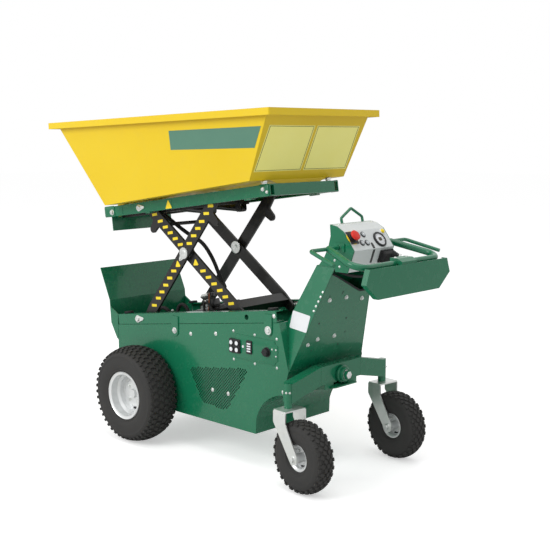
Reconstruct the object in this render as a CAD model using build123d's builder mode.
from build123d import *

import os
from math import asin, atan2, cos, degrees, radians, sin, tan

# Scissor-lift pedestrian site dumper, in millimetres.
# While it is drawn, X = 0 is the drive axle, +X the tipping end, +Y the left side, +Z up.
# save() moves every piece by SHIFT_X, so that the origin ends under the middle of the whole machine.
# The hull's top rails, the scissor and the upper frame lie on a deck that falls towards the front:
# u runs forwards along the deck and n stands square to it.

# ---- driving sizes -----------------------------------------------------------------------------
DECK_TILT = 7.85
SHEET = 5.0
GAP = 6.0            # air between neighbours that move past each other
FIT = 0.1            # radial play of a pin in its bore
SEAT = 0.3           # play between faces that nearly touch

# running gear
DRIVE_TYRE_R, DRIVE_TYRE_W, DRIVE_RIM_R = 228.5, 164.0, 104.0
DRIVE_TRACK_HALF = 336.0
AXLE_R = 20.0
CASTER_TYRE_R, CASTER_TYRE_W, CASTER_RIM_R = 152.5, 92.0, 56.0
KINGPIN_X, KINGPIN_Y, CASTER_TRAIL, CASTER_YAW = -972.0, 315.0, 94.0, 6.5
KINGPIN_R, KINGPIN_TUBE_R = 12.0, 18.0
KINGPIN_LOW, KINGPIN_HIGH = 338.0, 441.0
SWING_Z, SWING_TUBE_R, SWING_PIN_R = 430.0, 30.0, 16.0
BEAM_FRONT, BEAM_DEPTH, BEAM_TALL, BEAM_TOP, BEAM_FLAT_HALF, BEAM_TIP_DROP = -942.0, 50.0, 80.0, 479.0, 131.0, 40.0

# hull
HULL_HALF = 247.0
FLOOR_Z, HULL_FRONT_X, HULL_REAR_X = 157.0, 240.0, -717.0
RAIL_TOP, RAIL_TALL, RAIL_FLANGE = 596.0, 50.0, 47.0
RAIL_FRONT_U, RAIL_REAR_U = 159.0, -925.0
BAY_DECK_N = 480.0
LASHING_X, LASHING_R = -662.0, 12.0
PAD_TALL = 10.0

# scissor, in deck coordinates
ARM_ANGLE, ARM_LONG, ARM_SHORT = 43.2, 435.0, 344.0
ARM_WIDE, ARM_END_R, ARM_THICK = 60.0, 22.0, 12.0
OUTER_ARM_Y, INNER_ARM_Y = 188.0, 166.0        # outer faces
FOOT_U, FOOT_N = 4.0, 571.0
PIN_R, ROLLER_R, CENTRE_PIN_R, LIFT_PIN_R = 11.0, 19.0, 14.0, 9.0

# upper frame
FRAME_HALF, FRAME_TALL, FRAME_TOP, FRAME_FLANGE = 223.5, 50.0, 1129.0, 26.0
FRAME_FRONT_U, FRAME_REAR_U = 206.0, -940.0
TIP_U, TIP_N, TIP_PIN_R = 147.0, 1096.0, 10.5

# tub
TUB_RIM_Z_FRONT, TUB_RIM_Z_REAR, TUB_RIM_FRONT, TUB_RIM_REAR = 1507.0, 1559.0, 629.0, -905.0
TUB_RIM_HALF, TUB_LIP = 361.0, 30.0
TUB_FLOOR_FRONT, TUB_FLOOR_REAR, TUB_FLOOR_HALF = 246.0, -742.0, 307.0
TUB_FLOOR_N_FRONT, TUB_FLOOR_N_REAR, TUB_BELLY, TUB_BELLY_HALF = 1134.0, 1147.0, 66.0, 185.0

# operator's end
COLUMN_FOOT_Z, COLUMN_FOOT_HALF, COLUMN_FOOT_REAR = 466.0, 242.0, -910.0
COLUMN_TOP_Z, COLUMN_TOP_HALF, COLUMN_TOP_REAR = 912.0, 131.0, -1061.0
COLUMN_TOP_FRONT, COLUMN_SEAM_FRONT, COLUMN_SEAM_Z = -963.0, -851.0, 658.0
CONSOLE_HALF = 134.0
HANDLE_R, GUARD_R = 14.0, 8.0
HANDLE_FRONT, HANDLE_REAR, HANDLE_Z_FRONT, HANDLE_Z_REAR = -1088.0, -1303.0, 995.0, 939.0
BELLY_X = -1345.0

SHIFT_X = -(TUB_RIM_FRONT + BELLY_X) / 2

# ---- helpers -----------------------------------------------------------------------------------
TILT_COS, TILT_SIN = cos(radians(DECK_TILT)), sin(radians(DECK_TILT))


def deck_point(u, n, y=0.0):
    """Drawing-frame point of deck coordinates."""
    return Vector(u * TILT_COS + n * TILT_SIN, y, n * TILT_COS - u * TILT_SIN)


def deck_height(x, n):
    """Z of the deck level n above a drawing-frame X."""
    return (n - x * TILT_SIN) / TILT_COS


def deck_view(y=0.0):
    """Side view whose axes are u and n; an extrusion runs towards -Y."""
    return Plane(origin=(0, y, 0), x_dir=(TILT_COS, 0, -TILT_SIN), z_dir=(0, -1, 0))


def side_view(y=0.0):
    """Side view whose axes are X and Z; an extrusion runs towards -Y."""
    return Plane(origin=(0, y, 0), x_dir=(1, 0, 0), z_dir=(0, -1, 0))


def save(builder, name):
    solid = builder.part.moved(Location((SHIFT_X, 0, 0)))
    solid.label = name
    export_step(solid, f"parts/{name}.step")


def polar(radius, angle):
    return (radius * cos(radians(angle)), radius * sin(radians(angle)))


os.makedirs("parts", exist_ok=True)
SIDES = (("left", 1), ("right", -1))

# ---- hull --------------------------------------------------------------------------------------
ARCH_LOW, ARCH_MID, ARCH_HIGH = (-720.0, 222.0), (-775.0, 313.0), (-882.0, 358.0)
HULL_WAIST = (-910.0, 466.0)
HULL_SHOULDER_X = -856.0
CHIN = (150.0, 300.0)                     # X and Z where the sloped chin starts and ends
SIDE_TOP_N = RAIL_TOP - RAIL_TALL - 2.0
GRILLE = ((-267, 395), (-673, 454), (-685, 433), (-542, 217), (-367, 223))
GRILLE_LAP, GRILLE_THICK, GRILLE_PITCH, GRILLE_HOLE = 14.0, 3.0, 34.0, 20.0


def grille_holes():
    """Centres of the square holes that lie whole inside the grille's window."""
    reach = GRILLE_HOLE * 0.75
    centres = []
    for i in range(14):
        for j in range(8):
            x, z = -690 + i * GRILLE_PITCH, 205 + j * GRILLE_PITCH
            clear = [((x1 - x0) * (z - z0) - (z1 - z0) * (x - x0)) / ((x1 - x0) ** 2 + (z1 - z0) ** 2) ** 0.5
                     for (x0, z0), (x1, z1) in zip(GRILLE, GRILLE[1:] + GRILLE[:1])]
            if min(clear) > reach:
                centres.append((x, z))
    return centres


with BuildPart() as hull_sides:
    for s in (1, -1):
        with BuildSketch(side_view(s * HULL_HALF)):
            with BuildLine():
                Polyline((CHIN[0], FLOOR_Z), (HULL_FRONT_X, CHIN[1]),
                         (HULL_FRONT_X, deck_height(HULL_FRONT_X, SIDE_TOP_N)),
                         (HULL_SHOULDER_X, deck_height(HULL_SHOULDER_X, SIDE_TOP_N)), HULL_WAIST, ARCH_HIGH)
                ThreePointArc(ARCH_HIGH, ARCH_MID, ARCH_LOW)
                Polyline(ARCH_LOW, (HULL_REAR_X, FLOOR_Z), (CHIN[0], FLOOR_Z))
            make_face()
            Polygon(*GRILLE, align=None, mode=Mode.SUBTRACT)
            with Locations((0, DRIVE_TYRE_R)):
                Circle(AXLE_R + FIT, mode=Mode.SUBTRACT)
        extrude(amount=s * SHEET)
        shoulder_z = deck_height(HULL_SHOULDER_X, SIDE_TOP_N)
        taper = (COLUMN_FOOT_HALF - COLUMN_TOP_HALF) / (COLUMN_TOP_Z - COLUMN_FOOT_Z)
        closure = Face(Wire.make_polygon([
            (HULL_WAIST[0], s * (HULL_HALF - SHEET), COLUMN_FOOT_Z),
            (HULL_SHOULDER_X, s * (HULL_HALF - SHEET), shoulder_z),
            (HULL_SHOULDER_X, s * (COLUMN_FOOT_HALF - taper * (shoulder_z - COLUMN_FOOT_Z)), shoulder_z)], close=True))
        add(Solid.extrude(closure, Vector(SHEET, 0, 0)))
save(hull_sides, "hull_sides")

with BuildPart() as grilles:
    for s in (1, -1):
        with BuildSketch(side_view(s * (HULL_HALF - SHEET))):
            with BuildSketch(mode=Mode.PRIVATE) as window:
                Polygon(*GRILLE, align=None)
            add(offset(window.sketch, amount=GRILLE_LAP, kind=Kind.INTERSECTION, mode=Mode.PRIVATE))
            with Locations(*grille_holes()):
                Rectangle(GRILLE_HOLE, GRILLE_HOLE, mode=Mode.SUBTRACT)
        extrude(amount=s * GRILLE_THICK)
save(grilles, "hull_grilles")

HULL_INNER = HULL_HALF - SHEET
with BuildPart() as hull_pan:
    with BuildSketch(side_view(HULL_INNER)):
        with BuildLine():
            Polyline((HULL_REAR_X, FLOOR_Z), (CHIN[0], FLOOR_Z), (HULL_FRONT_X, CHIN[1]),
                     (HULL_FRONT_X, deck_height(HULL_FRONT_X, SIDE_TOP_N)),
                     (HULL_FRONT_X - SHEET, deck_height(HULL_FRONT_X, SIDE_TOP_N)),
                     (HULL_FRONT_X - SHEET, CHIN[1] + 2), (CHIN[0] - 3, FLOOR_Z + SHEET),
                     (HULL_REAR_X, FLOOR_Z + SHEET), close=True)
        make_face()
        with BuildLine():
            Line((HULL_REAR_X, FLOOR_Z), ARCH_LOW)
            ThreePointArc(ARCH_LOW, ARCH_MID, ARCH_HIGH)
            Line(ARCH_HIGH, HULL_WAIST)
            offset(amount=SHEET, side=Side.RIGHT)
        make_face()
        with Locations((HULL_WAIST[0], COLUMN_FOOT_Z + 5)):
            Rectangle(30, 10, mode=Mode.SUBTRACT)
    extrude(amount=2 * HULL_INNER)
save(hull_pan, "hull_pan")

with BuildPart() as bay_deck:
    with BuildSketch(deck_view(HULL_INNER)):
        with BuildLine():
            Polyline((RAIL_FRONT_U + 9, BAY_DECK_N), (-905, BAY_DECK_N), (-905, BAY_DECK_N - SHEET),
                     (RAIL_FRONT_U + 9, BAY_DECK_N - SHEET), close=True)
        make_face()
    extrude(amount=2 * HULL_INNER)
save(bay_deck, "bay_deck")

HANGERS = (-192.0, -794.0)               # X of the hanger plates
HANGER_WIDE, HANGER_TOP, HANGER_LOW = 46.0, 14.0, 86.0   # below the rail's top
with BuildPart() as hull_rails:
    for s in (1, -1):
        with BuildSketch(deck_view(s * HULL_HALF)):
            with Locations(((RAIL_FRONT_U + RAIL_REAR_U) / 2, RAIL_TOP - RAIL_TALL / 2)):
                Rectangle(RAIL_FRONT_U - RAIL_REAR_U, RAIL_TALL)
        extrude(amount=s * SHEET)
        for level in (RAIL_TOP - SHEET / 2, RAIL_TOP - RAIL_TALL + SHEET / 2):
            with BuildSketch(deck_view(s * HULL_HALF)):
                with Locations(((RAIL_FRONT_U + RAIL_REAR_U) / 2, level)):
                    Rectangle(RAIL_FRONT_U - RAIL_REAR_U, SHEET)
            extrude(amount=s * RAIL_FLANGE)
        for x in HANGERS:
            z = deck_height(x, RAIL_TOP)
            with BuildSketch(side_view(s * (HULL_HALF + SHEET))):
                with BuildLine():
                    Polyline((x - HANGER_WIDE / 2, z - HANGER_TOP), (x - HANGER_WIDE / 2, z - HANGER_LOW))
                    ThreePointArc((x - HANGER_WIDE / 2, z - HANGER_LOW),
                                  (x, z - HANGER_LOW - HANGER_WIDE / 2), (x + HANGER_WIDE / 2, z - HANGER_LOW))
                    Polyline((x + HANGER_WIDE / 2, z - HANGER_LOW), (x + HANGER_WIDE / 2, z - HANGER_TOP),
                             (x - HANGER_WIDE / 2, z - HANGER_TOP))
                make_face()
            extrude(amount=s * SHEET)
        with BuildSketch(side_view(s * HULL_HALF)):
            with Locations((LASHING_X, deck_height(LASHING_X, RAIL_TOP - RAIL_TALL / 2))):
                Circle(LASHING_R)
        extrude(amount=s * SHEET, mode=Mode.SUBTRACT)
save(hull_rails, "hull_rails")

# flared guard ahead of the hull, with side returns
GUARD = ((250, 446), (295, 520), (305, 632), (376, 787))
GUARD_HALF = 248.0
with BuildPart() as front_guard:
    with BuildSketch(side_view(GUARD_HALF)):
        with BuildLine() as guard_line:
            Polyline(*GUARD)
            offset(amount=SHEET, side=Side.LEFT)
        make_face()
    extrude(amount=2 * GUARD_HALF)
    for s in (1, -1):
        with BuildSketch(side_view(s * GUARD_HALF)):
            Polygon((HULL_FRONT_X, 440), (247, 446), (292, 522), (300, 600), (HULL_FRONT_X, 566), align=None)
        extrude(amount=s * (GUARD_HALF - HULL_INNER))
save(front_guard, "front_guard")

BATTERY = (420.0, 440.0, 260.0)
with BuildPart() as battery_pack:
    with Locations((-380, 0, FLOOR_Z + SHEET)):
        Box(*BATTERY, align=(Align.CENTER, Align.CENTER, Align.MIN))
save(battery_pack, "battery_pack")

AXLE_END = 300.0
with BuildPart() as drive_unit:
    with Locations((0, 0, DRIVE_TYRE_R)):
        Box(150, 2 * HULL_INNER - 40, 110)
        with Locations(Rotation(90, 0, 0)):
            Cylinder(AXLE_R, 2 * AXLE_END)
    with Locations((0, 0, FLOOR_Z + SHEET)):
        Box(120, 300, DRIVE_TYRE_R - FLOOR_Z - SHEET, align=(Align.CENTER, Align.CENTER, Align.MIN))
save(drive_unit, "drive_unit")

CHARGE = (-597.0, -835.0, 482.0, 587.0)
with BuildPart() as charge_panel:
    with BuildSketch(side_view(HULL_HALF + 3)):
        Polygon((CHARGE[0], CHARGE[2]), (CHARGE[0], CHARGE[3]), (CHARGE[1] + 20, CHARGE[3]),
                (CHARGE[1], CHARGE[3] - 18), (CHARGE[1], CHARGE[2] + 18), (CHARGE[1] + 20, CHARGE[2]), align=None)
    extrude(amount=3)
    for x, z, w, h in ((-574, 548, 20, 24), (-606, 548, 20, 24), (-574, 517, 20, 24), (-606, 517, 20, 24),
                       (-680, 538, 36, 50)):
        with BuildSketch(side_view(HULL_HALF + 3)):
            with Locations((x - 14, z)):
                Rectangle(w, h)
        extrude(amount=-5)
    with BuildSketch(side_view(HULL_HALF + 3)):
        with Locations((-776, 532)):
            Circle(15)
    extrude(amount=-16, taper=4)
save(charge_panel, "charge_panel")

# ---- column and console ------------------------------------------------------------------------
FOOT_FRONT = COLUMN_SEAM_FRONT + (COLUMN_SEAM_Z - COLUMN_FOOT_Z) * (
    (COLUMN_TOP_FRONT - COLUMN_SEAM_FRONT) / (COLUMN_SEAM_Z - COLUMN_TOP_Z))


def column_section(z, front, rear, half):
    with BuildSketch(Plane.XY.offset(z)) as section:
        with Locations(((front + rear) / 2, 0)):
            Rectangle(front - rear, 2 * half)
    return section.sketch


with BuildPart() as column:
    add(loft([column_section(COLUMN_FOOT_Z, FOOT_FRONT, COLUMN_FOOT_REAR, COLUMN_FOOT_HALF),
              column_section(COLUMN_TOP_Z, COLUMN_TOP_FRONT, COLUMN_TOP_REAR, COLUMN_TOP_HALF)],
             ruled=True, mode=Mode.PRIVATE))
    add(loft([column_section(COLUMN_FOOT_Z - 1, FOOT_FRONT - SHEET, COLUMN_FOOT_REAR - 60, COLUMN_FOOT_HALF - SHEET),
              column_section(COLUMN_TOP_Z + 1, COLUMN_TOP_FRONT - SHEET, COLUMN_TOP_REAR - 60,
                             COLUMN_TOP_HALF - SHEET)],
             ruled=True, mode=Mode.PRIVATE), mode=Mode.SUBTRACT)
    with BuildSketch(side_view(COLUMN_FOOT_HALF + 10)):
        Polygon((HULL_WAIST[0] + 12, 400), (HULL_WAIST[0] + 12, COLUMN_FOOT_Z + 12),
                (COLUMN_SEAM_FRONT, COLUMN_SEAM_Z - 20), (COLUMN_SEAM_FRONT + 15, COLUMN_SEAM_Z - 20),
                (COLUMN_SEAM_FRONT + 15, 660), (-500, 660), (-500, 400), align=None)
    extrude(amount=2 * COLUMN_FOOT_HALF + 20, mode=Mode.SUBTRACT)
save(column, "column")

REAR_SLOPE = (COLUMN_TOP_REAR - COLUMN_FOOT_REAR) / (COLUMN_TOP_Z - COLUMN_FOOT_Z)
WIDTH_SLOPE = (COLUMN_TOP_HALF - COLUMN_FOOT_HALF) / (COLUMN_TOP_Z - COLUMN_FOOT_Z)
rear_face = Plane(origin=(COLUMN_FOOT_REAR, 0, COLUMN_FOOT_Z), x_dir=(0, 1, 0),
                  z_dir=(-cos(atan2(-REAR_SLOPE, 1)), 0, -sin(atan2(-REAR_SLOPE, 1))))
rear_run = (1 + REAR_SLOPE ** 2) ** 0.5      # length along the face for each unit of height


def cover_half(z):
    return COLUMN_FOOT_HALF - SHEET - 1 + WIDTH_SLOPE * (z - COLUMN_FOOT_Z)


COVER_NEAR_Z, COVER_FAR_Z, COVER_LEVEL_Y = 885.0, 784.0, -88.0
with BuildPart() as column_cover:
    with BuildSketch(rear_face):
        face_sign = 1 if rear_face.y_dir.Z > 0 else -1
        Polygon(*[(y, face_sign * (z - COLUMN_FOOT_Z) * rear_run) for y, z in (
            (cover_half(COLUMN_FOOT_Z), COLUMN_FOOT_Z), (cover_half(COVER_NEAR_Z), COVER_NEAR_Z),
            (COVER_LEVEL_Y, COVER_FAR_Z), (-cover_half(COVER_FAR_Z), COVER_FAR_Z),
            (-cover_half(COLUMN_FOOT_Z), COLUMN_FOOT_Z))], align=None)
    extrude(amount=-SHEET)
save(column_cover, "column_cover")

HEAD = ((-1035, 1086), (-1039, 1039), (-1026, 989), (-1003, 945), (-975, COLUMN_TOP_Z),
        (COLUMN_TOP_REAR, COLUMN_TOP_Z), (-1066, 893), (-1130, 893), (-1143, 930), (-1163, 985),
        (-1107, 1060), (-1070, 1080))
with BuildPart() as console_head:
    with BuildSketch(side_view(CONSOLE_HALF)):
        Polygon(*HEAD, align=None)
    extrude(amount=2 * CONSOLE_HALF)
    with BuildSketch(side_view(CONSOLE_HALF - SHEET)):
        Polygon((-1042, 1140), (-1044, 1038), (-1031, 991), (-1008, 947), (-985, COLUMN_TOP_Z - 1),
                (-1052, COLUMN_TOP_Z - 1), (-1071, 880), (-1200, 880), (-1200, 1140), align=None)
    extrude(amount=2 * (CONSOLE_HALF - SHEET), mode=Mode.SUBTRACT)
save(console_head, "console_head")

PANEL = ((-1045, 1082), (-1070, 1078), (-1106, 1057), (-1159, 985), (-1140, 930), (-1127, 896))
PANEL_THICK = 4.0
with BuildPart() as control_panel:
    with BuildSketch(side_view(CONSOLE_HALF - SHEET - SEAT)):
        with BuildLine():
            Polyline(*PANEL)
            offset(amount=PANEL_THICK, side=Side.RIGHT)
        make_face()
    extrude(amount=2 * (CONSOLE_HALF - SHEET - SEAT))
save(control_panel, "control_panel")

# controls sit on the panel's sloped face
slope_face = Plane(origin=(-1132.5, 0, 1021), x_dir=(0, -1, 0), z_dir=(-72, 0, 53)).offset(PANEL_THICK)
with BuildPart() as emergency_stop:
    with BuildSketch(slope_face):
        with Locations((-82, 6)):
            Circle(26)
    extrude(amount=9)
    with BuildSketch(slope_face.offset(9)):
        with Locations((-82, 6)):
            Circle(11)
    extrude(amount=16)
    with BuildSketch(slope_face.offset(25)):
        with Locations((-82, 6)):
            Circle(20)
    extrude(amount=12)
save(emergency_stop, "emergency_stop")

with BuildPart() as panel_controls:
    for x, y, r, h in ((-42, 24, 11, 6), (-14, 24, 11, 6), (-42, -8, 11, 6), (-14, -8, 11, 6),
                       (46, 10, 28, 9), (52, 38, 11, 14)):
        with BuildSketch(slope_face):
            with Locations((x, y)):
                Circle(r)
        extrude(amount=h)
    with BuildSketch(Plane(origin=(-1153.5, -70, 956), x_dir=(0, -1, 0), z_dir=(-55, 0, -19))):
        RectangleRounded(70, 46, 10)
    extrude(amount=34, taper=12)
    with BuildSketch(Plane(origin=(-1172, -78, 958), x_dir=(0, 1, 0), z_dir=(-0.8, -1, 0.15))):
        Circle(9)
    extrude(amount=46)
save(panel_controls, "panel_controls")

with BuildPart() as lifting_bail:
    with BuildLine() as bail_path:
        FilletPolyline((-1045, 68, 1087.5), (-1040, 69, 1108), (-1036, 0, 1146), (-1040, -69, 1108),
                       (-1045, -68, 1087.5), radius=10)
    with BuildSketch(Plane(origin=bail_path.line @ 0, z_dir=bail_path.line % 0)):
        Circle(6)
    sweep()
save(lifting_bail, "lifting_bail")

HANDLE_SLOPE = (HANDLE_Z_REAR - HANDLE_Z_FRONT) / (HANDLE_REAR - HANDLE_FRONT)
LOOP_FRONT_HALF, LOOP_REAR_HALF, LOOP_CORNER_R = 205.0, 290.0, 52.0
GUARD_CORNER_HALF, GUARD_END_X, GUARD_END_HALF = 316.0, -1243.0, 362.0 - GUARD_R


def handle_point(x, y):
    return (x, y, HANDLE_Z_FRONT + (x - HANDLE_FRONT) * HANDLE_SLOPE)


with BuildPart() as handle_bar:
    with BuildLine() as loop_path:
        FilletPolyline(handle_point(HANDLE_FRONT, LOOP_FRONT_HALF), handle_point(HANDLE_REAR, LOOP_REAR_HALF),
                       handle_point(HANDLE_REAR, -LOOP_REAR_HALF), handle_point(HANDLE_FRONT, -LOOP_FRONT_HALF),
                       radius=LOOP_CORNER_R)
    with BuildSketch(Plane(origin=loop_path.line @ 0, z_dir=loop_path.line % 0)):
        Circle(HANDLE_R)
    sweep()
    for s in (1, -1):
        with BuildLine() as guard_path:
            FilletPolyline(handle_point(HANDLE_FRONT, s * CONSOLE_HALF),
                           handle_point(HANDLE_FRONT, s * GUARD_CORNER_HALF),
                           handle_point(GUARD_END_X, s * GUARD_END_HALF), radius=20)
        with BuildSketch(Plane(origin=guard_path.line @ 0, z_dir=guard_path.line % 0)):
            Circle(GUARD_R)
        sweep(path=guard_path.line)
        with BuildSketch(side_view(s * CONSOLE_HALF)):
            with Locations((HANDLE_FRONT, HANDLE_Z_FRONT)):
                RectangleRounded(56, 40, 8)
        extrude(amount=-s * SHEET)
save(handle_bar, "handle_bar")

BELLY = ((-261, 940), (-283, 880), (-207, 817), (207, 817), (283, 880), (261, 940))
BELLY_RETURN = 26.0
with BuildPart() as belly_plate:
    with BuildSketch(Plane(origin=(BELLY_X, 0, 0), x_dir=(0, 1, 0), z_dir=(1, 0, 0))) as belly_face:
        Polygon(*BELLY, align=None)
    extrude(amount=BELLY_RETURN)
    with BuildSketch(Plane(origin=(BELLY_X + 4, 0, 0), x_dir=(0, 1, 0), z_dir=(1, 0, 0))):
        Polygon((-257, 960), (-257, 940), (-278.5, 881.5), (-205.5, 821), (205.5, 821), (278.5, 881.5),
                (257, 940), (257, 960), align=None)
    extrude(amount=BELLY_RETURN, mode=Mode.SUBTRACT)
    with BuildSketch(side_view(50)):
        with BuildLine():
            Polyline((BELLY_X + 4, 936), (BELLY_X + 4, 950), (-1318, 962), (-1280, 962), (-1280, 950),
                     (-1285, HANDLE_Z_REAR), (-1321, HANDLE_Z_REAR), (-1321, 936), close=True)
        make_face()
        with Locations((HANDLE_REAR, HANDLE_Z_REAR)):
            Circle(HANDLE_R + SEAT, mode=Mode.SUBTRACT)
    extrude(amount=100)
save(belly_plate, "belly_plate")

# ---- swinging axle and casters -----------------------------------------------------------------
with BuildPart() as pivot_bracket:
    with BuildSketch(Plane(origin=(-895, 0, SWING_Z), x_dir=(0, 1, 0), z_dir=(-1, 0, 0))):
        Circle(SWING_PIN_R)
    extrude(amount=140)
    with BuildSketch(Plane(origin=(-1021, 0, SWING_Z), x_dir=(0, 1, 0), z_dir=(-1, 0, 0))):
        RegularPolygon(20, 6)
    extrude(amount=16)
    with BuildSketch(Plane(origin=(BEAM_FRONT + 4, 0, SWING_Z), x_dir=(0, 1, 0), z_dir=(1, 0, 0))):
        Circle(SWING_TUBE_R + 4)
    extrude(amount=36)
    with BuildSketch(side_view(HULL_HALF)):
        Polygon((-910, 466), (-883, 360), (-893, 352), (-1022, 382), (-1022, 388), (-912, 388), align=None)
    extrude(amount=2 * HULL_HALF)
    with Locations((-950, 190, 440), (-950, -190, 440)):
        Box(200, 240, 240, mode=Mode.SUBTRACT)
    with BuildSketch(side_view(HULL_HALF)):
        with BuildLine():
            Line((-700, 200), ARCH_LOW)
            ThreePointArc(ARCH_LOW, ARCH_MID, ARCH_HIGH)
            Line(ARCH_HIGH, HULL_WAIST)
            Polyline(HULL_WAIST, (-700, HULL_WAIST[1]), (-700, 200))
        make_face()
    extrude(amount=2 * HULL_HALF, mode=Mode.SUBTRACT)
save(pivot_bracket, "pivot_bracket")

BEAM_MID = BEAM_FRONT - BEAM_DEPTH / 2
with BuildPart() as axle_beam:
    with BuildSketch(Plane(origin=(BEAM_FRONT, 0, 0), x_dir=(0, 1, 0), z_dir=(1, 0, 0))):
        Polygon((-KINGPIN_Y, BEAM_TOP - BEAM_TIP_DROP), (-BEAM_FLAT_HALF, BEAM_TOP), (BEAM_FLAT_HALF, BEAM_TOP),
                (KINGPIN_Y, BEAM_TOP - BEAM_TIP_DROP), (KINGPIN_Y, BEAM_TOP - BEAM_TIP_DROP - BEAM_TALL),
                (BEAM_FLAT_HALF, BEAM_TOP - BEAM_TALL), (-BEAM_FLAT_HALF, BEAM_TOP - BEAM_TALL),
                (-KINGPIN_Y, BEAM_TOP - BEAM_TIP_DROP - BEAM_TALL), align=None)
    extrude(amount=-BEAM_DEPTH)
    with BuildSketch(Plane(origin=(BEAM_FRONT, 0, SWING_Z), x_dir=(0, 1, 0), z_dir=(-1, 0, 0))):
        Circle(SWING_TUBE_R)
    extrude(amount=78)
    with Locations((KINGPIN_X, KINGPIN_Y, KINGPIN_LOW), (KINGPIN_X, -KINGPIN_Y, KINGPIN_LOW)):
        Cylinder(KINGPIN_TUBE_R, KINGPIN_HIGH - KINGPIN_LOW, align=(Align.CENTER, Align.CENTER, Align.MIN))
        Cylinder(KINGPIN_R + FIT, KINGPIN_HIGH - KINGPIN_LOW - 5, align=(Align.CENTER, Align.CENTER, Align.MIN),
                 mode=Mode.SUBTRACT)
    with BuildSketch(Plane(origin=(BEAM_FRONT, 0, SWING_Z), x_dir=(0, 1, 0), z_dir=(-1, 0, 0))):
        Circle(SWING_PIN_R + FIT)
    extrude(amount=78, mode=Mode.SUBTRACT)
save(axle_beam, "axle_beam")


def tyre_profile(radius, width, rim_radius):
    """Closed section of a pneumatic tyre, in its own plane: x from the mid plane, y from the axis."""
    half = width / 2
    shoulder = radius - 0.10 * radius
    bead = half * 0.68
    with BuildLine() as outline:
        Line((-bead, rim_radius), (bead, rim_radius))
        ThreePointArc((bead, rim_radius), (half, (shoulder + rim_radius) / 2), (half * 0.88, shoulder))
        ThreePointArc((half * 0.88, shoulder), (0, radius), (-half * 0.88, shoulder))
        ThreePointArc((-half * 0.88, shoulder), (-half, (shoulder + rim_radius) / 2), (-bead, rim_radius))
    return outline.line


def rim_profile(rim_radius, width, hub_radius, hub_half, bore, dish):
    """Section of a pressed rim with a disc and a hub."""
    bead = width / 2 * 0.68
    rim = rim_radius - SEAT
    return ((-hub_half, bore), (-hub_half, hub_radius), (dish - 3, hub_radius), (dish - 3, rim - 12),
            (-bead + 6, rim - 12), (-bead, rim - 5), (-bead, rim), (bead, rim), (bead, rim - 5),
            (bead - 6, rim - 12), (dish + 3, rim - 12), (dish + 3, hub_radius), (hub_half, hub_radius),
            (hub_half, bore))


def deep_rim_profile(bore, bore_end, outward):
    """Section of a drive rim: flanged barrel with a dropped middle, its disc and hub deep inside the outer side."""
    half = ((-46, bore), (-46, 30), (8, 30), (8, 60), (0, 70), (0, 88.5), (-28, 88.5), (-38, 97.5),
            (-69.5, 100), (-72, 109), (-75, 113), (-72, 115), (-68, 112), (-66, DRIVE_RIM_R - SEAT), (-40, 101.5), (-30, 92), (20, 92), (34, 101.5),
            (66, DRIVE_RIM_R - SEAT), (68, 112), (72, 115), (75, 113), (72, 109), (69.5, 100), (36, 97.5),
            (24, 88.5), (4, 88.5), (4, 72), (12, 62), (12, 24), (24, 20), (24, 0), (bore_end, 0), (bore_end, bore))
    return [(outward * along, radius) for along, radius in half]


def wheel_frame(centre, yaw):
    """Plane whose local x is the axle's direction, so that a revolve about it makes a wheel."""
    axle = Vector(0, 1, 0).rotate(Axis.Z, -yaw)
    return Plane(origin=centre, x_dir=axle, z_dir=axle.cross(Vector(0, 0, 1)))


def wheel(name, centre, yaw, radius, width, rim_radius, section):
    frame = wheel_frame(centre, yaw)
    spin = Axis(frame.origin, frame.x_dir)
    with BuildPart() as tyre:
        with BuildSketch(frame):
            with BuildLine():
                add(tyre_profile(radius, width, rim_radius))
            make_face()
        revolve(axis=spin)
    save(tyre, f"{name}_tyre")
    with BuildPart() as rim:
        with BuildSketch(frame):
            with BuildLine():
                Polyline(*section, close=True)
            make_face()
        revolve(axis=spin)
    save(rim, f"{name}_rim")


for side, s in SIDES:
    wheel(f"drive_{side}", (0, s * DRIVE_TRACK_HALF, DRIVE_TYRE_R), 0, DRIVE_TYRE_R, DRIVE_TYRE_W,
          DRIVE_RIM_R, deep_rim_profile(AXLE_R + FIT, AXLE_END - DRIVE_TRACK_HALF + 2, s))

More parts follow.
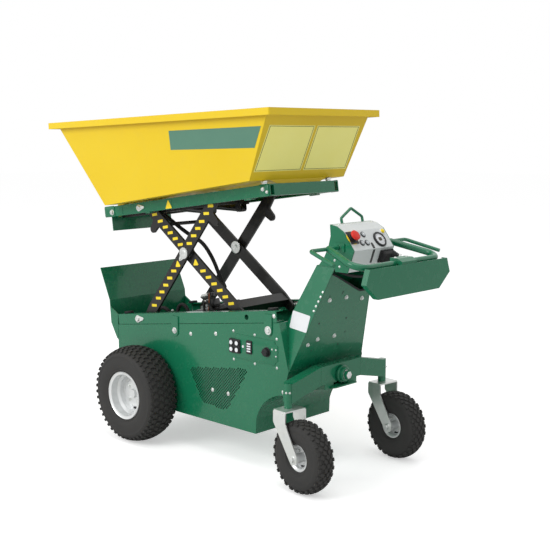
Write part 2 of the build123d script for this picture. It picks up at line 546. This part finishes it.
yaw = radians(CASTER_YAW)
AXLE_BOLT_R, FORK_THICK, FORK_GAP_HALF = 8.0, 5.0, 52.0
CASTER_Z = CASTER_TYRE_R
for side, s in SIDES:
    trail = Vector(-cos(yaw), sin(yaw), 0)
    pivot = Vector(KINGPIN_X, s * KINGPIN_Y, 0)
    centre = pivot + trail * CASTER_TRAIL + Vector(0, 0, CASTER_Z)
    across = Vector(sin(yaw), cos(yaw), 0)
    wheel(f"caster_{side}", centre, CASTER_YAW, CASTER_TYRE_R, CASTER_TYRE_W, CASTER_RIM_R,
          rim_profile(CASTER_RIM_R, CASTER_TYRE_W, 20.0, 46.0, AXLE_BOLT_R + FIT, 0.0))
    with BuildPart() as fork:
        with BuildSketch(Plane(origin=pivot + Vector(0, 0, KINGPIN_LOW - 6 - SEAT), x_dir=trail, z_dir=(0, 0, 1))):
            with Locations((8, 0)):
                RectangleRounded(76, 2 * (FORK_GAP_HALF + FORK_THICK), 6)
        extrude(amount=6)
        for t in (1, -1):
            leg = Plane(origin=pivot + across * (t * FORK_GAP_HALF), x_dir=trail, z_dir=across * t)
            with BuildSketch(leg):
                rise = 1 if leg.y_dir.Z > 0 else -1
                with BuildLine():
                    Polyline((-30, rise * 332), (-30, rise * 285), (74, rise * 138))
                    ThreePointArc((74, rise * 138), (94, rise * 128), (116, rise * 146))
                    Polyline((116, rise * 146), (116, rise * 168), (46, rise * 285), (46, rise * 332), (-30, rise * 332))
                make_face()
            extrude(amount=FORK_THICK)
        with BuildSketch(Plane(origin=centre - across * (FORK_GAP_HALF + 14), x_dir=trail, z_dir=across)):
            Circle(AXLE_BOLT_R)
        extrude(amount=2 * (FORK_GAP_HALF + 14))
        with Locations(Location(pivot + Vector(0, 0, KINGPIN_LOW - 3))):
            Cylinder(KINGPIN_R, KINGPIN_HIGH - KINGPIN_LOW - 8, align=(Align.CENTER, Align.CENTER, Align.MIN))
    save(fork, f"caster_{side}_fork")

# ---- scissor -----------------------------------------------------------------------------------
FOOT = (FOOT_U, FOOT_N)
CENTRE = (FOOT_U - ARM_LONG * cos(radians(ARM_ANGLE)), FOOT_N + ARM_LONG * sin(radians(ARM_ANGLE)))


def arm_plane(direction, y):
    """Side view with its origin on the centre pin and local x along an arm, towards its upper end."""
    base = deck_view()
    x_dir = base.x_dir * (direction * cos(radians(ARM_ANGLE))) + base.y_dir * sin(radians(ARM_ANGLE))
    origin = deck_point(*CENTRE, y)
    return Plane(origin=origin, x_dir=x_dir, z_dir=(0, -1, 0))


def arm_outline(hook):
    """Arm along local x, from its lower pin at -ARM_LONG to its upper pin at ARM_SHORT."""
    half = ARM_WIDE / 2
    with BuildSketch(mode=Mode.PRIVATE) as outline:
        with BuildLine():
            ThreePointArc((-ARM_LONG, -ARM_END_R), (-ARM_LONG - ARM_END_R, 0), (-ARM_LONG, ARM_END_R))
            Polyline((-ARM_LONG, ARM_END_R), (-ARM_LONG + 60, half), (ARM_SHORT - 60, half), (ARM_SHORT, ARM_END_R))
            ThreePointArc((ARM_SHORT, ARM_END_R), (ARM_SHORT + ARM_END_R, 0), (ARM_SHORT, -ARM_END_R))
            Polyline((ARM_SHORT, -ARM_END_R), (ARM_SHORT - 60, -half), (-ARM_LONG + 60, -half), (-ARM_LONG, -ARM_END_R))
        make_face()
        with BuildLine():
            Polyline((ARM_SHORT - 60, -hook * (half - 4)), (HOOK_ALONG + 22, -hook * (half + 6)),
                     (HOOK_ALONG + 19, -hook * HOOK_DROP))
            ThreePointArc((HOOK_ALONG + 19, -hook * HOOK_DROP), (HOOK_ALONG, -hook * (HOOK_DROP + 19)),
                          (HOOK_ALONG - 19, -hook * HOOK_DROP))
            Polyline((HOOK_ALONG - 19, -hook * HOOK_DROP), (HOOK_ALONG - 26, -hook * (half - 4)),
                     (ARM_SHORT - 60, -hook * (half - 4)))
        make_face()
    return outline.sketch


HOOK_ALONG, HOOK_DROP, HOOK_TUBE_DROP, HOOK_TUBE_R = 258.0, 66.0, 44.0, 9.0
CROSS_ALONG, CROSS_SIDE = 46.0, 48.0     # box beam near the inner arms' feet
LIFT_EYE_ALONG, LIFT_EYE_DROP, LIFT_EYE_HALF, LUG_THICK = 106.0, 46.0, 50.0, 12.0

# outer pair: feet hinged to the hull at the front, rollers in the upper frame at the rear
with BuildPart() as scissor_outer:
    for s in (1, -1):
        with BuildSketch(arm_plane(-1, s * OUTER_ARM_Y)):
            add(arm_outline(-1))
            with Locations((-ARM_LONG, 0)):
                Circle(PIN_R + FIT, mode=Mode.SUBTRACT)
            Circle(CENTRE_PIN_R + FIT / 2, mode=Mode.SUBTRACT)
        extrude(amount=s * ARM_THICK)
save(scissor_outer, "scissor_outer")

# inner pair: hinged to the upper frame at the front, rollers in the hull's rails at the rear
with BuildPart() as scissor_inner:
    for s in (1, -1):
        with BuildSketch(arm_plane(1, s * INNER_ARM_Y)):
            add(arm_outline(1))
            with Locations((ARM_SHORT, 0)):
                Circle(PIN_R + FIT, mode=Mode.SUBTRACT)
            Circle(CENTRE_PIN_R + FIT, mode=Mode.SUBTRACT)
        extrude(amount=s * ARM_THICK)
save(scissor_inner, "scissor_inner")

INNER_GAP_HALF = INNER_ARM_Y - ARM_THICK
with BuildPart() as scissor_cross:
    with BuildSketch(arm_plane(1, INNER_GAP_HALF)):
        with Locations((CROSS_ALONG - ARM_LONG, 0)):
            Rectangle(CROSS_SIDE, CROSS_SIDE)
        with Locations((HOOK_ALONG, -HOOK_TUBE_DROP)):
            Circle(HOOK_TUBE_R)
    extrude(amount=2 * INNER_GAP_HALF)
    for y in (LIFT_EYE_HALF + LUG_THICK, -LIFT_EYE_HALF):
        along, drop = LIFT_EYE_ALONG - ARM_LONG, -LIFT_EYE_DROP
        with BuildSketch(arm_plane(1, y)):
            with BuildLine():
                Polyline((CROSS_ALONG - ARM_LONG, 20), (along + 14, drop + 12))
                ThreePointArc((along + 14, drop + 12), (along + 9, drop - 16), (along - 12, drop - 14))
                Polyline((along - 12, drop - 14), (CROSS_ALONG - ARM_LONG, -20), (CROSS_ALONG - ARM_LONG, 20))
            make_face()
            with Locations((along, drop)):
                Circle(LIFT_PIN_R + FIT, mode=Mode.SUBTRACT)
        extrude(amount=LUG_THICK)
save(scissor_cross, "scissor_cross")

# rollers and pins
with BuildPart() as foot_pins:
    for s in (1, -1):
        for outer, inner, radius in ((HULL_INNER, OUTER_ARM_Y + SEAT, ROLLER_R), (HULL_INNER, 172.0, PIN_R)):
            with BuildSketch(deck_view(s * outer)):
                with Locations(FOOT):
                    Circle(radius)
            extrude(amount=s * (outer - inner))
save(foot_pins, "foot_pins")

with BuildPart() as inner_rollers:
    for s in (1, -1):
        for outer, inner, radius in ((HULL_INNER - 3, 202.0, ROLLER_R), (HULL_INNER - 3, INNER_ARM_Y, PIN_R)):
            with BuildSketch(arm_plane(1, s * outer)):
                with Locations((-ARM_LONG, 0)):
                    Circle(radius)
            extrude(amount=s * (outer - inner))
        with BuildSketch(arm_plane(1, s * (LIFT_EYE_HALF + LUG_THICK + 4))):
            with Locations((LIFT_EYE_ALONG - ARM_LONG, -LIFT_EYE_DROP)):
                Circle(LIFT_PIN_R)
        extrude(amount=s * (LUG_THICK + 3))
save(inner_rollers, "inner_rollers")

FRAME_INNER = FRAME_HALF - SHEET
with BuildPart() as outer_rollers:
    for s in (1, -1):
        for outer, inner, radius in ((FRAME_INNER - 3, 196.0, ROLLER_R), (FRAME_INNER - 3, OUTER_ARM_Y, PIN_R)):
            with BuildSketch(arm_plane(-1, s * outer)):
                with Locations((ARM_SHORT, 0)):
                    Circle(radius)
            extrude(amount=s * (outer - inner))
        for outer, inner, radius in ((OUTER_ARM_Y + 4, OUTER_ARM_Y, 27.0), (OUTER_ARM_Y + 4, 148.0, CENTRE_PIN_R),
                                     (OUTER_ARM_Y - ARM_THICK, INNER_ARM_Y + SEAT, 24.0),
                                     (INNER_ARM_Y - ARM_THICK - SEAT, 148.0, 27.0)):
            with BuildSketch(deck_view(s * outer)):
                with Locations(CENTRE):
                    Circle(radius)
            extrude(amount=s * (outer - inner))
save(outer_rollers, "outer_rollers")

# ---- upper frame -------------------------------------------------------------------------------
FRAME_LOW = FRAME_TOP - FRAME_TALL
UPPER_PIN = (CENTRE[0] + ARM_SHORT * cos(radians(ARM_ANGLE)), CENTRE[1] + ARM_SHORT * sin(radians(ARM_ANGLE)))
TIP_Y, TIP_BASE, TIP_EYE = 100.0, (-430.0, 1052.0), (-60.0, 1108.0)
with BuildPart() as frame_rails:
    for s in (1, -1):
        with BuildSketch(deck_view(s * FRAME_HALF)):
            with Locations(((FRAME_FRONT_U + FRAME_REAR_U) / 2, FRAME_TOP - FRAME_TALL / 2)):
                Rectangle(FRAME_FRONT_U - FRAME_REAR_U, FRAME_TALL)
        extrude(amount=s * SHEET)
        for level in (FRAME_TOP - SHEET / 2, FRAME_LOW + SHEET / 2):
            with BuildSketch(deck_view(s * FRAME_HALF)):
                with Locations(((FRAME_FRONT_U + FRAME_REAR_U) / 2, level)):
                    Rectangle(FRAME_FRONT_U - FRAME_REAR_U, SHEET)
            extrude(amount=s * FRAME_FLANGE)
save(frame_rails, "frame_rails")

FRAME_GAP_HALF = FRAME_HALF - FRAME_FLANGE
CROSS_FRONT_U, CROSS_REAR_LONG, DEFLECTOR_HALF, DEFLECTOR_LOW, DEFLECTOR_THICK = 176.0, 24.0, 192.0, 1010.0, 4.0
CROSS_FRONT_TOP = 1104.0                 # low enough for the tub's hinge ears to swing over it
END_SHEETS = (                           # rear end, front end, lower edge, upper edge, half width
    (CROSS_FRONT_U, FRAME_FRONT_U, FRAME_LOW, CROSS_FRONT_TOP, FRAME_GAP_HALF),
    (FRAME_REAR_U, FRAME_REAR_U + CROSS_REAR_LONG, FRAME_LOW, FRAME_TOP, FRAME_GAP_HALF),
    (FRAME_FRONT_U - 10, FRAME_FRONT_U - 10 + DEFLECTOR_THICK, DEFLECTOR_LOW, FRAME_TOP, DEFLECTOR_HALF))
with BuildPart() as frame_ends:
    for rear_u, front_u, low, top, half in END_SHEETS:
        with BuildSketch(deck_view(half)):
            with Locations(((rear_u + front_u) / 2, (low + top) / 2)):
                Rectangle(front_u - rear_u, top - low)
        extrude(amount=2 * half)
save(frame_ends, "frame_ends")

# black sub-frame between the rails, carrying the tipping cylinders
SUB_OUTER, SUB_WIDE, SUB_LOW, SUB_TALL, SUB_REAR_U = 142.0, 20.0, 1070.0, 30.0, -445.0
TIP_EYE_HALF, TIP_PIN_SMALL_R = 12.0, 8.0
with BuildPart() as tip_subframe:
    for s in (1, -1):
        with BuildSketch(deck_view(s * SUB_OUTER)):
            with Locations(((CROSS_FRONT_U + SUB_REAR_U) / 2, SUB_LOW + SUB_TALL / 2)):
                Rectangle(CROSS_FRONT_U - SUB_REAR_U, SUB_TALL)
        extrude(amount=s * SUB_WIDE)
        for outer, thick in ((SUB_OUTER - SUB_WIDE, 5.0), (TIP_Y - TIP_EYE_HALF - 5, 8.0)):
            with BuildSketch(deck_view(s * outer)):
                with BuildLine():
                    Polyline((TIP_BASE[0] - 15, TIP_BASE[1]), (TIP_BASE[0] - 15, 1088), (TIP_BASE[0] + 15, 1088),
                             (TIP_BASE[0] + 15, TIP_BASE[1]))
                    ThreePointArc((TIP_BASE[0] + 15, TIP_BASE[1]), (TIP_BASE[0], TIP_BASE[1] - 15),
                                  (TIP_BASE[0] - 15, TIP_BASE[1]))
                make_face()
            extrude(amount=s * thick)
        with BuildSketch(deck_view(s * (SUB_OUTER - SUB_WIDE))):
            with Locations(TIP_BASE):
                Circle(TIP_PIN_SMALL_R)
        extrude(amount=s * 47)
    with BuildSketch(deck_view(SUB_OUTER - SUB_WIDE)):
        with Locations((TIP_BASE[0], 1085)):
            Rectangle(20, 20)
    extrude(amount=2 * (SUB_OUTER - SUB_WIDE))
save(tip_subframe, "tip_subframe")

with BuildPart() as frame_pins:
    for s in (1, -1):
        for outer, inner, radius, place in (
                (FRAME_INNER, 194.0, ROLLER_R, UPPER_PIN), (FRAME_INNER, 150.0, PIN_R, UPPER_PIN),
                (FRAME_INNER, 172.0, TIP_PIN_R, (TIP_U, TIP_N))):
            with BuildSketch(deck_view(s * outer)):
                with Locations(place):
                    Circle(radius)
            extrude(amount=s * (outer - inner))
save(frame_pins, "frame_pins")

with BuildPart() as frame_buffers:
    for y in (208, -208):
        with BuildSketch(deck_view(y + 13)):
            with Locations((-896, FRAME_TOP + 8)):
                Rectangle(30, 16)
        extrude(amount=26)
save(frame_buffers, "frame_buffers")

with BuildPart() as rail_pads:
    for y in (212, -212):
        for u in (115, -880):
            with BuildSketch(deck_view(y + 9)):
                with Locations((u, RAIL_TOP + PAD_TALL / 2)):
                    Rectangle(46, PAD_TALL)
            extrude(amount=18)
save(rail_pads, "rail_pads")

# ---- cylinders ---------------------------------------------------------------------------------


def cylinder(name, base, eye, places, barrel_r, rod_r, barrel_end, base_half, eye_half, pin_r, eye_r):
    """Barrels with a base eye and rods with their own eyes, in deck coordinates, one pair for each place in Y."""
    with BuildPart() as barrel:
        for y in places:
            start, end = deck_point(*base, y), deck_point(*eye, y)
            frame = Plane(origin=start, x_dir=(0, 1, 0), z_dir=(end - start).normalized())
            with BuildSketch(frame.offset(eye_r - 2)):
                Circle(barrel_r)
            extrude(amount=barrel_end - eye_r + 2)
            with BuildSketch(deck_view(y + base_half)):
                with Locations(base):
                    Circle(eye_r)
            extrude(amount=2 * base_half)
            with BuildSketch(deck_view(y + base_half)):
                with Locations(base):
                    Circle(pin_r + FIT)
            extrude(amount=2 * base_half, mode=Mode.SUBTRACT)
            with BuildSketch(frame.offset(eye_r + 14)):
                Circle(rod_r + FIT)
            extrude(amount=barrel_end, mode=Mode.SUBTRACT)
    save(barrel, f"{name}_barrel")
    with BuildPart() as rod:
        for y in places:
            start, end = deck_point(*base, y), deck_point(*eye, y)
            frame = Plane(origin=start, x_dir=(0, 1, 0), z_dir=(end - start).normalized())
            with BuildSketch(frame.offset(eye_r + 46)):
                Circle(rod_r)
            extrude(amount=(end - start).length - eye_r - 46)
            with BuildSketch(deck_view(y + eye_half)):
                with Locations(eye):
                    Circle(16)
            extrude(amount=2 * eye_half)
            with BuildSketch(deck_view(y + eye_half)):
                with Locations(eye):
                    Circle(pin_r + FIT)
            extrude(amount=2 * eye_half, mode=Mode.SUBTRACT)
    save(rod, f"{name}_rod")


LIFT_BASE, LIFT_BEAM_TOP = (-60.0, 543.0), 506.0
FOOT_REAR = (CENTRE[0] - ARM_LONG * cos(radians(ARM_ANGLE)), CENTRE[1] - ARM_LONG * sin(radians(ARM_ANGLE)))
LIFT_EYE = (FOOT_REAR[0] + LIFT_EYE_ALONG * cos(radians(ARM_ANGLE)) + LIFT_EYE_DROP * sin(radians(ARM_ANGLE)),
            FOOT_REAR[1] + LIFT_EYE_ALONG * sin(radians(ARM_ANGLE)) - LIFT_EYE_DROP * cos(radians(ARM_ANGLE)))
LIFT_BASE_HALF = 33.0
cylinder("lift", LIFT_BASE, LIFT_EYE, (0.0,), 24.0, 13.0, 396.0, LIFT_BASE_HALF, LIFT_EYE_HALF - 1, LIFT_PIN_R, 22.0)
cylinder("tip", TIP_BASE, TIP_EYE, (TIP_Y, -TIP_Y), 16.0, 9.0, 325.0, TIP_EYE_HALF, TIP_EYE_HALF,
         TIP_PIN_SMALL_R, 16.0)

with BuildPart() as lift_base:
    for s in (1, -1):
        with BuildSketch(deck_view(s * (LIFT_BASE_HALF + 13))):
            with BuildLine():
                Polyline((LIFT_BASE[0] - 45, LIFT_BEAM_TOP - 1), (LIFT_BASE[0] - 18, LIFT_BASE[1] + 12))
                ThreePointArc((LIFT_BASE[0] - 18, LIFT_BASE[1] + 12), (LIFT_BASE[0], LIFT_BASE[1] + 24),
                              (LIFT_BASE[0] + 18, LIFT_BASE[1] + 12))
                Polyline((LIFT_BASE[0] + 18, LIFT_BASE[1] + 12), (LIFT_BASE[0] + 55, LIFT_BEAM_TOP - 1),
                         (LIFT_BASE[0] - 45, LIFT_BEAM_TOP - 1))
            make_face()
        extrude(amount=s * 12)
    with BuildSketch(deck_view(HULL_INNER)):
        with Locations((LIFT_BASE[0] + 5, (BAY_DECK_N + LIFT_BEAM_TOP) / 2)):
            Rectangle(110, LIFT_BEAM_TOP - BAY_DECK_N)
    extrude(amount=2 * HULL_INNER)
    with BuildSketch(deck_view(LIFT_BASE_HALF + 13)):
        with Locations(LIFT_BASE):
            Circle(LIFT_PIN_R)
    extrude(amount=2 * (LIFT_BASE_HALF + 13))
save(lift_base, "lift_base")

# ---- tub ---------------------------------------------------------------------------------------


def tub_solid(wall):
    """Closed form of the tub, drawn in by wall: two four-cornered faces joined by ruled sides."""
    floor_front, floor_rear = TUB_FLOOR_FRONT - wall * 1.4, TUB_FLOOR_REAR + wall * 1.2
    low = [(x, s * (TUB_FLOOR_HALF - wall)) for x, s in
           ((floor_front, 1), (floor_rear, 1), (floor_rear, -1), (floor_front, -1))]
    rim_in = TUB_LIP + wall
    high = [(x, s * (TUB_RIM_HALF - rim_in)) for x, s in
            ((TUB_RIM_FRONT - rim_in * 1.1, 1), (TUB_RIM_REAR + rim_in, 1),
             (TUB_RIM_REAR + rim_in, -1), (TUB_RIM_FRONT - rim_in * 1.1, -1))]
    floor_plane = floor_level(wall)
    rim_plane = rim_level(wall / 5)
    faces = []
    for plane, corners in ((floor_plane, low), (rim_plane, high)):
        with BuildSketch(plane) as outline:
            scale = 1 / plane.x_dir.X
            Polygon(*[((x - plane.origin.X) * scale, y) for x, y in corners], align=None)
        faces.append(outline.sketch)
    return loft(faces, ruled=True, mode=Mode.PRIVATE)


def floor_level(lift):
    z0 = deck_height(TUB_FLOOR_FRONT, TUB_FLOOR_N_FRONT)
    z1 = deck_height(TUB_FLOOR_REAR, TUB_FLOOR_N_REAR)
    slope = (z1 - z0) / (TUB_FLOOR_REAR - TUB_FLOOR_FRONT)
    return Plane(origin=(0, 0, z0 - slope * TUB_FLOOR_FRONT + lift), x_dir=(1, 0, slope),
                 z_dir=(-slope, 0, 1))


def rim_level(lift):
    slope = (TUB_RIM_Z_REAR - TUB_RIM_Z_FRONT) / (TUB_RIM_REAR - TUB_RIM_FRONT)
    return Plane(origin=(0, 0, TUB_RIM_Z_FRONT - slope * TUB_RIM_FRONT + lift), x_dir=(1, 0, slope),
                 z_dir=(-slope, 0, 1))


def belly_solid(wall):
    """Folded belly: a pyramid from a point at the tub's front to a vee under its rear wall."""
    apex = Vector(TUB_FLOOR_FRONT, 0, deck_height(TUB_FLOOR_FRONT, TUB_FLOOR_N_FRONT))
    fold_z = deck_height(TUB_FLOOR_REAR, TUB_FLOOR_N_REAR)
    left, right = Vector(TUB_FLOOR_REAR, TUB_BELLY_HALF, fold_z), Vector(TUB_FLOOR_REAR, -TUB_BELLY_HALF, fold_z)
    keel = Vector(TUB_FLOOR_REAR - TUB_BELLY * TILT_SIN, 0, fold_z - TUB_BELLY * TILT_COS)
    faces = [Face(Wire.make_polygon(points, close=True)) for points in (
        (apex, left, keel), (apex, keel, right), (left, right, keel), (apex, right, left))]
    shift = (wall * (TILT_COS + TILT_SIN), 0, wall * 1.06 * TILT_COS)
    return Solid(Shell(faces)).moved(Location(shift))


with BuildPart() as tub:
    add(tub_solid(0))
    add(belly_solid(0))
    add(tub_solid(SHEET), mode=Mode.SUBTRACT)
    add(belly_solid(SHEET), mode=Mode.SUBTRACT)
    rim = rim_level(0)
    mid_x, long = (TUB_RIM_FRONT + TUB_RIM_REAR) / 2, (TUB_RIM_FRONT - TUB_RIM_REAR) / rim.x_dir.X
    place = (mid_x / rim.x_dir.X, 0)
    with BuildSketch(rim):
        with Locations(place):
            RectangleRounded(long, 2 * TUB_RIM_HALF, 8)
            Rectangle(long - 2 * TUB_LIP - 10, 2 * (TUB_RIM_HALF - TUB_LIP - SHEET), mode=Mode.SUBTRACT)
    extrude(amount=-SHEET)
    with BuildSketch(rim):
        with Locations(place):
            RectangleRounded(long, 2 * TUB_RIM_HALF, 8)
            Rectangle(long - 2 * SHEET, 2 * (TUB_RIM_HALF - SHEET), mode=Mode.SUBTRACT)
    extrude(amount=-TUB_LIP)
    for s in (1, -1):
        with BuildSketch(deck_view(s * OUTER_ARM_Y)):
            with BuildLine():
                Polyline((TIP_U - 16, TIP_N - 6), (TIP_U - 85, TUB_FLOOR_N_FRONT + 3), (TIP_U - 52, TUB_FLOOR_N_FRONT + 3),
                         (TIP_U - 34, 1166), (TIP_U - 22, 1172), (TIP_U + 16, TIP_N + 6))
                ThreePointArc((TIP_U + 16, TIP_N + 6), (TIP_U + 5, TIP_N - 17), (TIP_U - 16, TIP_N - 6))
            make_face()
            with Locations((TIP_U, TIP_N)):
                Circle(TIP_PIN_R + FIT, mode=Mode.SUBTRACT)
        extrude(amount=s * ARM_THICK)
        for outer in (TIP_Y + TIP_EYE_HALF + 9, TIP_Y - TIP_EYE_HALF - 1):
            with BuildSketch(deck_view(s * outer)):
                with BuildLine():
                    Polyline((TIP_EYE[0] - 14, TIP_EYE[1]), (TIP_EYE[0] - 26, TUB_FLOOR_N_FRONT + 4),
                             (TIP_EYE[0] + 26, TUB_FLOOR_N_FRONT + 4), (TIP_EYE[0] + 14, TIP_EYE[1]))
                    ThreePointArc((TIP_EYE[0] + 14, TIP_EYE[1]), (TIP_EYE[0], TIP_EYE[1] - 14),
                                  (TIP_EYE[0] - 14, TIP_EYE[1]))
                make_face()
            extrude(amount=s * 8)
save(tub, "tub")
